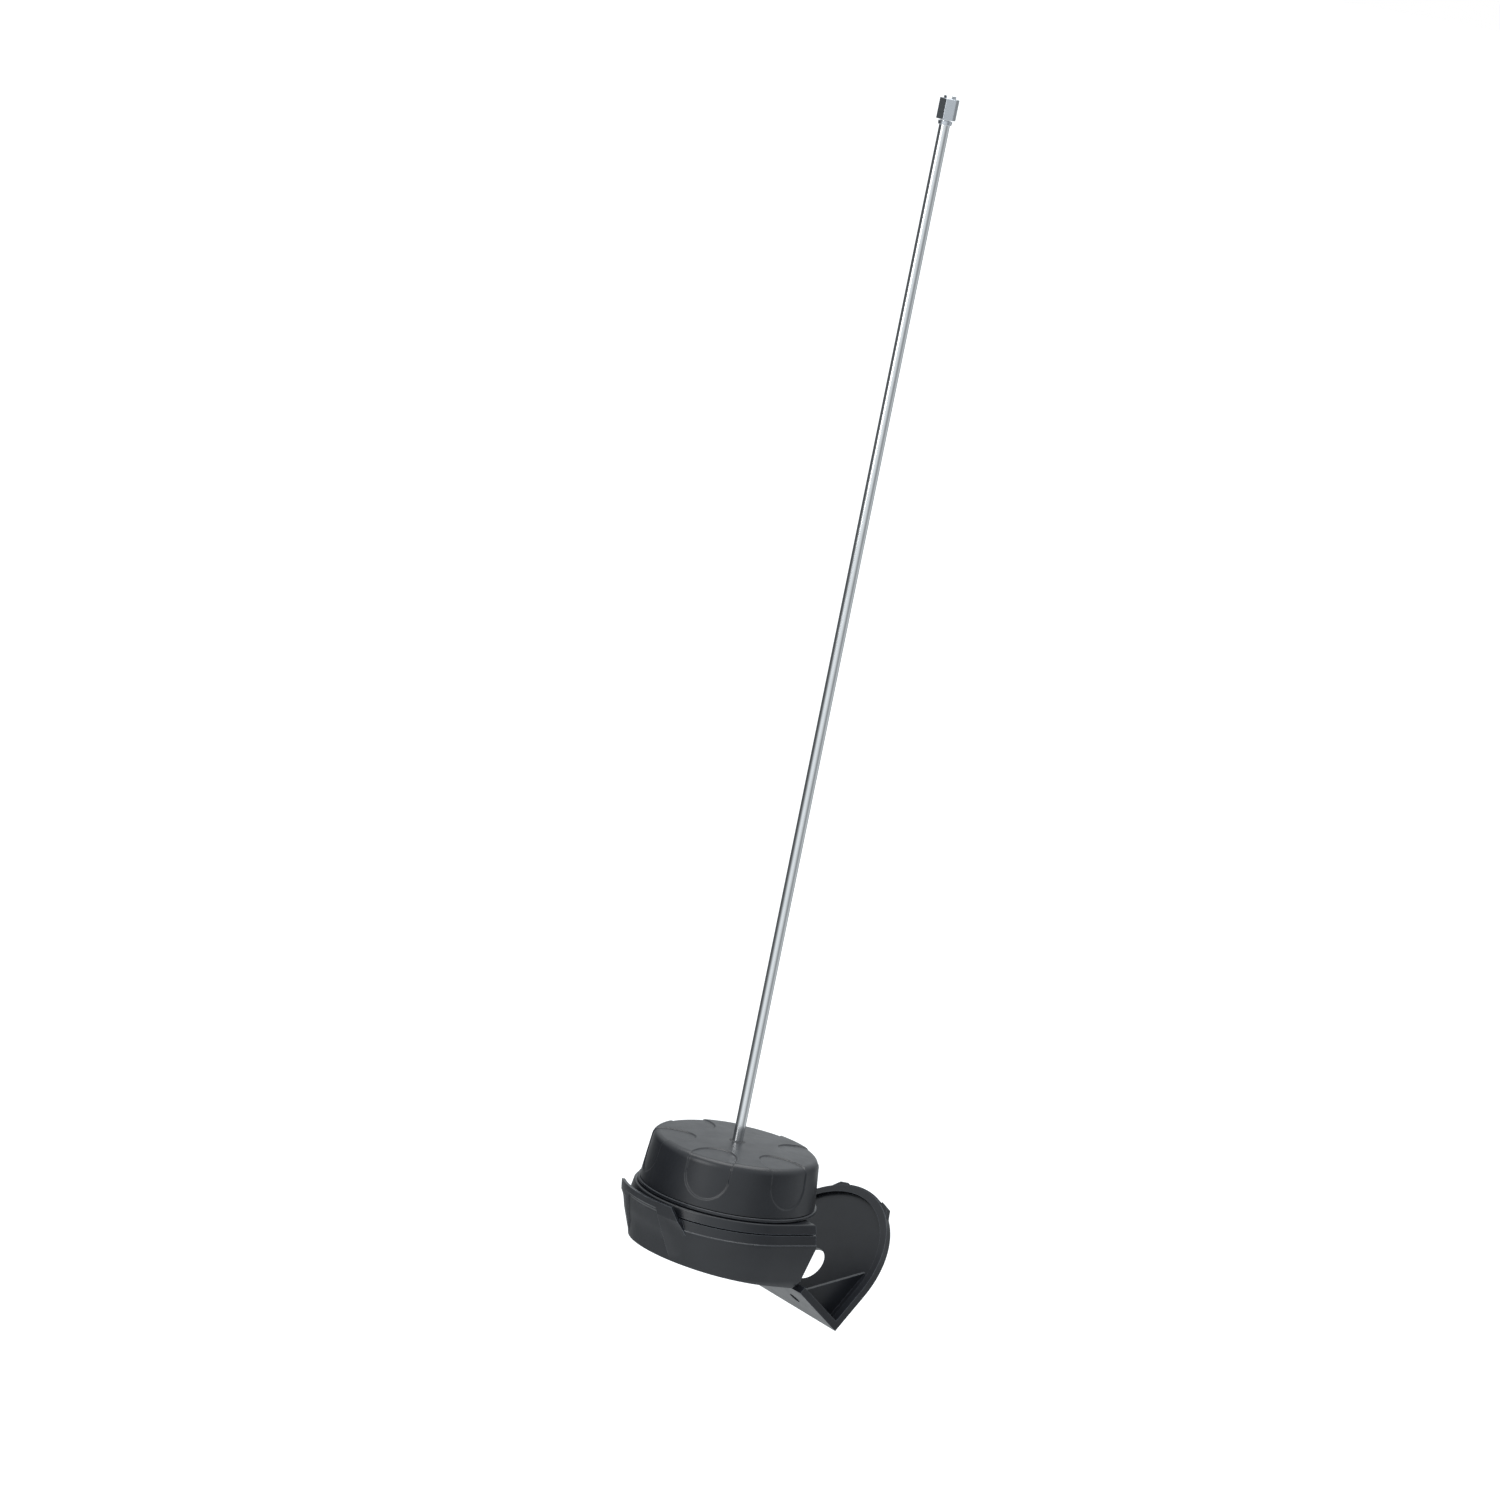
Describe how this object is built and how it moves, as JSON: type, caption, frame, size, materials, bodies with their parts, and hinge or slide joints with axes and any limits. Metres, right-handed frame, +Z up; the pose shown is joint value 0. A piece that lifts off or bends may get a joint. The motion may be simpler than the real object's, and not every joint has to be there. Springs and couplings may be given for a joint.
{
  "type": "whip antenna",
  "caption": "Whip antenna on a round twist-off puck, carried by an arch-shaped cradle on a tilting wall bracket.",
  "frame": {"origin": "on the wall plate's back face, on its centre line, 6 mm above its bottom edge", "axes": "+Z up along the whip, +Y along the tilt hinge, the wall plate on the +X side"},
  "size_m": [0.1363, 0.092, 0.5768],
  "materials": {
    "body_plastic": "satin anthracite moulding, fine grain",
    "polished_steel": "polished",
    "tip_steel": "machined",
    "fastener_steel": "zinc plated",
    "rubber": "matt",
    "brass": "machined",
    "aluminium": "rolled",
    "board": "solder mask",
    "copper": "enamelled copper wire"
  },
  "bodies": {
    "wall_bracket": {"tilt_bracket": "body_plastic", "hinge_pin": "fastener_steel", "hinge_washer_left": "fastener_steel", "hinge_washer_right": "fastener_steel", "hinge_clip_left": "fastener_steel", "hinge_clip_right": "fastener_steel"},
    "cradle": {"cradle_shell": "body_plastic", "mounting_plate": "body_plastic", "plate_screw_1": "fastener_steel", "plate_screw_2": "fastener_steel", "plate_screw_3": "fastener_steel", "plate_screw_4": "fastener_steel", "puck_base": "body_plastic", "dome_seal": "rubber", "ground_plane": "aluminium", "matching_board": "board", "board_standoff_1": "brass", "board_standoff_2": "brass", "board_standoff_3": "brass", "matching_coil": "copper", "contact_pin": "brass", "connector_body": "brass", "connector_nut": "fastener_steel"},
    "puck_cover": {"whip_rod": "polished_steel", "tip_collar": "tip_steel", "tip_nut": "tip_steel", "hub_boot": "rubber", "whip_socket": "brass", "socket_nut": "fastener_steel", "dome_cover": "body_plastic"}
  },
  "joints": [
    {"name": "cradle_tilt", "type": "hinge", "parent": "wall_bracket", "child": "cradle", "pos_m": [-0.03767, 0, 0.02313], "axis": [0, 1, 0], "range_deg": [-53, 37]},
    {"name": "cover_twist", "type": "hinge", "parent": "cradle", "child": "puck_cover", "pos_m": [-0.04901, 0, 0.04791], "axis": [0, 0, 1], "range_deg": [0, 30]}
  ]
}
